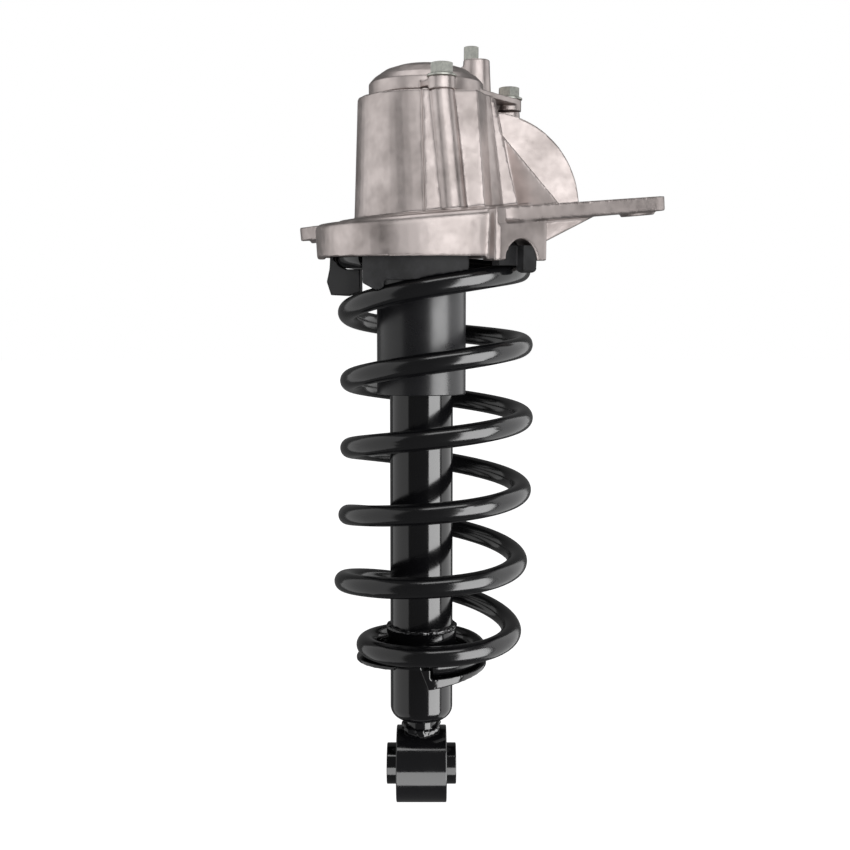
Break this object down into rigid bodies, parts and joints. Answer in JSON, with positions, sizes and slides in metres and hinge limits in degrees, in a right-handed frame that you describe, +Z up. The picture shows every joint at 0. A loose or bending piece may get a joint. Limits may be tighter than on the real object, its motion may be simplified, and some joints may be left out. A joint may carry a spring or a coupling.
{
  "type": "strut assembly",
  "caption": "Rear strut assembly: telescopic damper and bowed coil spring under a cast aluminium top mount with a bolted cap, rubber-bushed eye at the foot.",
  "frame": {"origin": "centre of the lower eye's bolt bore", "axes": "+Z up along the damper, +X along the lower eye's bolt, -Y the side that the cast mount leans towards"},
  "size_m": [0.2398, 0.1825, 0.497],
  "materials": {
    "die_cast_aluminium": "satin as cast",
    "zinc_plated_steel": "matt zinc",
    "plain_steel": "satin",
    "black_rubber": "matt",
    "black_plastic": "matt",
    "foam_rubber": "matt",
    "satin_black_paint": "satin",
    "gloss_black_paint": "gloss",
    "spring_coating": "gloss powder coat",
    "hard_chrome": "ground"
  },
  "bodies": {
    "mount": {"mount_housing": "die_cast_aluminium", "mount_cap": "die_cast_aluminium", "cap_bolts": "zinc_plated_steel", "post_screw": "zinc_plated_steel", "bush_shell": "plain_steel", "upper_insulator": "black_rubber", "insulator_lug": "black_rubber", "insulator_plug": "black_plastic"},
    "rod": {"piston_rod": "hard_chrome", "piston": "plain_steel", "piston_band": "black_plastic", "valve_discs": "plain_steel", "piston_nut": "plain_steel", "rebound_stop": "plain_steel", "bump_stop": "foam_rubber", "bump_stop_cup": "plain_steel", "dust_tube": "satin_black_paint", "bush_sleeve": "plain_steel", "bush_rubber": "black_rubber", "top_washer": "plain_steel", "rod_nut": "plain_steel", "coil_spring": "spring_coating"},
    "damper": {"damper_tube": "gloss_black_paint", "tube_cap": "gloss_black_paint", "rod_guide": "plain_steel", "rod_seal": "black_rubber", "pressure_tube": "plain_steel", "foot_valve": "plain_steel", "lower_spring_seat": "gloss_black_paint", "seat_collar": "gloss_black_paint", "seat_weld": "gloss_black_paint", "lower_eye": "gloss_black_paint", "eye_weld": "gloss_black_paint", "lower_bush_rubber": "black_rubber"},
    "eye_sleeve": {"lower_bush_sleeve": "gloss_black_paint"}
  },
  "joints": [
    {"name": "top_bush_flex", "type": "hinge", "parent": "mount", "child": "rod", "pos_m": [0, 0, 0.404], "axis": [1, 0, 0], "range_deg": [-2, 2], "stiffness_Nm_per_rad": 700},
    {"name": "damper_stroke", "type": "slide", "parent": "rod", "child": "damper", "axis": [0, 0, 1], "range_m": [0, 0.1], "stiffness_N_per_m": 30000, "springref_m": -0.03, "deforming": ["coil_spring", "bump_stop"]},
    {"name": "eye_sleeve_turn", "type": "hinge", "parent": "damper", "child": "eye_sleeve", "pos_m": [0, 0, 0], "axis": [1, 0, 0], "range_deg": [-15, 15], "stiffness_Nm_per_rad": 60}
  ]
}
